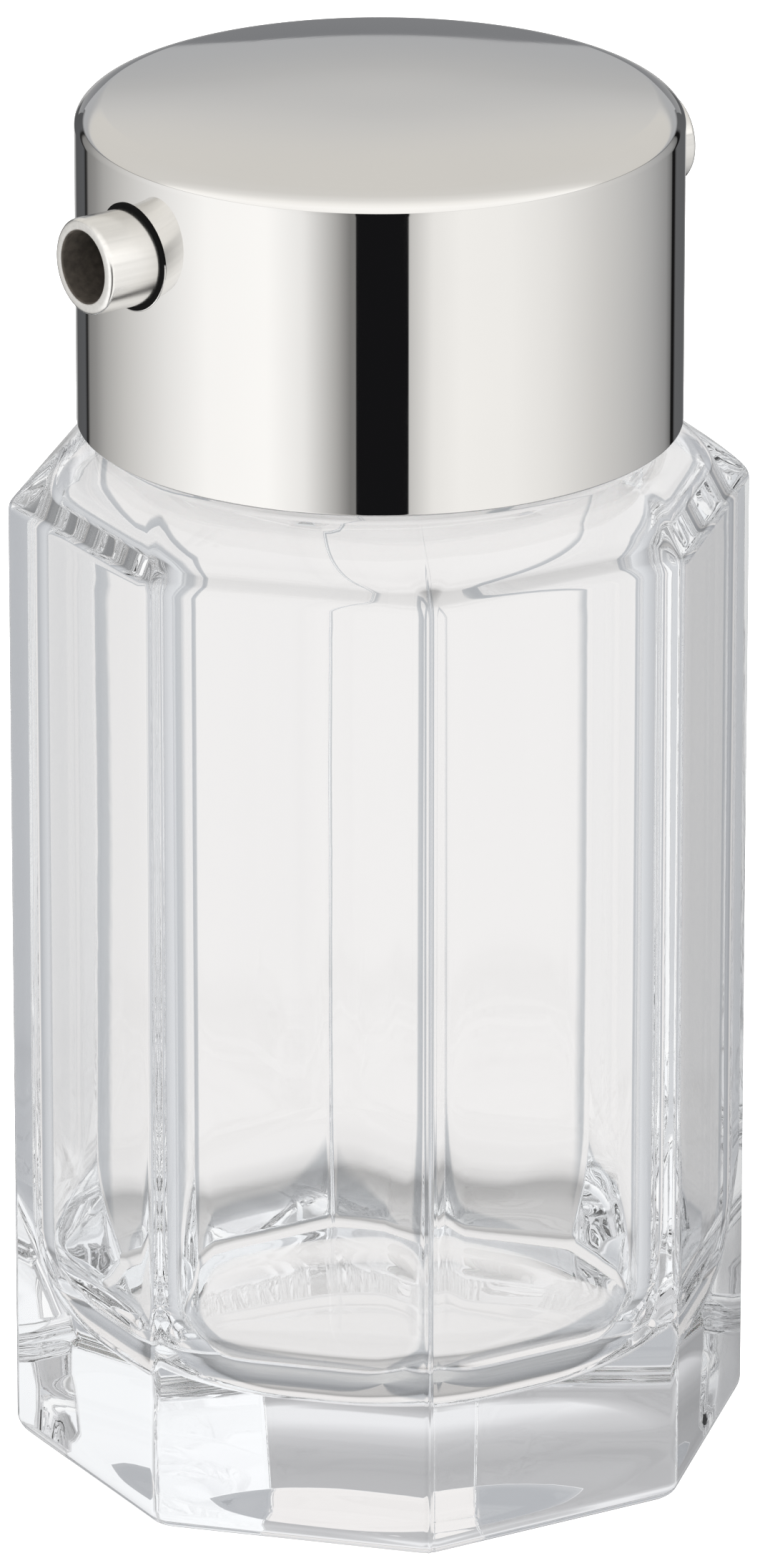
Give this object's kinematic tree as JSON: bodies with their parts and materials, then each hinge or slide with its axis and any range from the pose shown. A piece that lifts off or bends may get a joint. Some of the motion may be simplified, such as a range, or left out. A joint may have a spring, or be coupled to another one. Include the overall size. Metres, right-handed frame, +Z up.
{
  "type": "oil bottle",
  "caption": "Eight-sided clear glass table bottle with a polished steel screw cap and two short opposite tubes for pouring oil or soy sauce.",
  "frame": {"origin": "middle of the bottle's base, on the surface it stands on", "axes": "+Z up along the bottle's axis, -X towards the pour tube, +X towards the vent tube"},
  "size_m": [0.0592, 0.0592, 0.1168],
  "materials": {
    "clear_glass": "pressed soda-lime glass, fire polished",
    "polished_steel": "mirror-polished stainless steel",
    "tube_steel": "bright drawn stainless tube",
    "liner_plastic": "white polypropylene",
    "gasket_rubber": "translucent silicone",
    "seal_rubber": "black rubber"
  },
  "bodies": {
    "bottle": {"glass_bottle": "clear_glass"},
    "gasket": {"rim_gasket": "gasket_rubber"},
    "cap": {"cap_shell": "polished_steel", "cap_liner": "liner_plastic", "pour_tube": "tube_steel", "vent_tube": "tube_steel", "pour_tube_seal": "seal_rubber", "vent_tube_seal": "seal_rubber"}
  },
  "joints": [
    {"name": "cap_lift", "type": "slide", "parent": "bottle", "child": "gasket", "axis": [0, 0, 1], "range_m": [0, 0.0127]},
    {"name": "cap_turn", "type": "hinge", "parent": "gasket", "child": "cap", "pos_m": [0, 0, 0.1], "axis": [0, 0, 1], "range_deg": [0, 1080]}
  ],
  "couplings": [
    {"joint": "cap_lift", "follows": "cap_turn", "m_per_rad": 0.0006737}
  ]
}
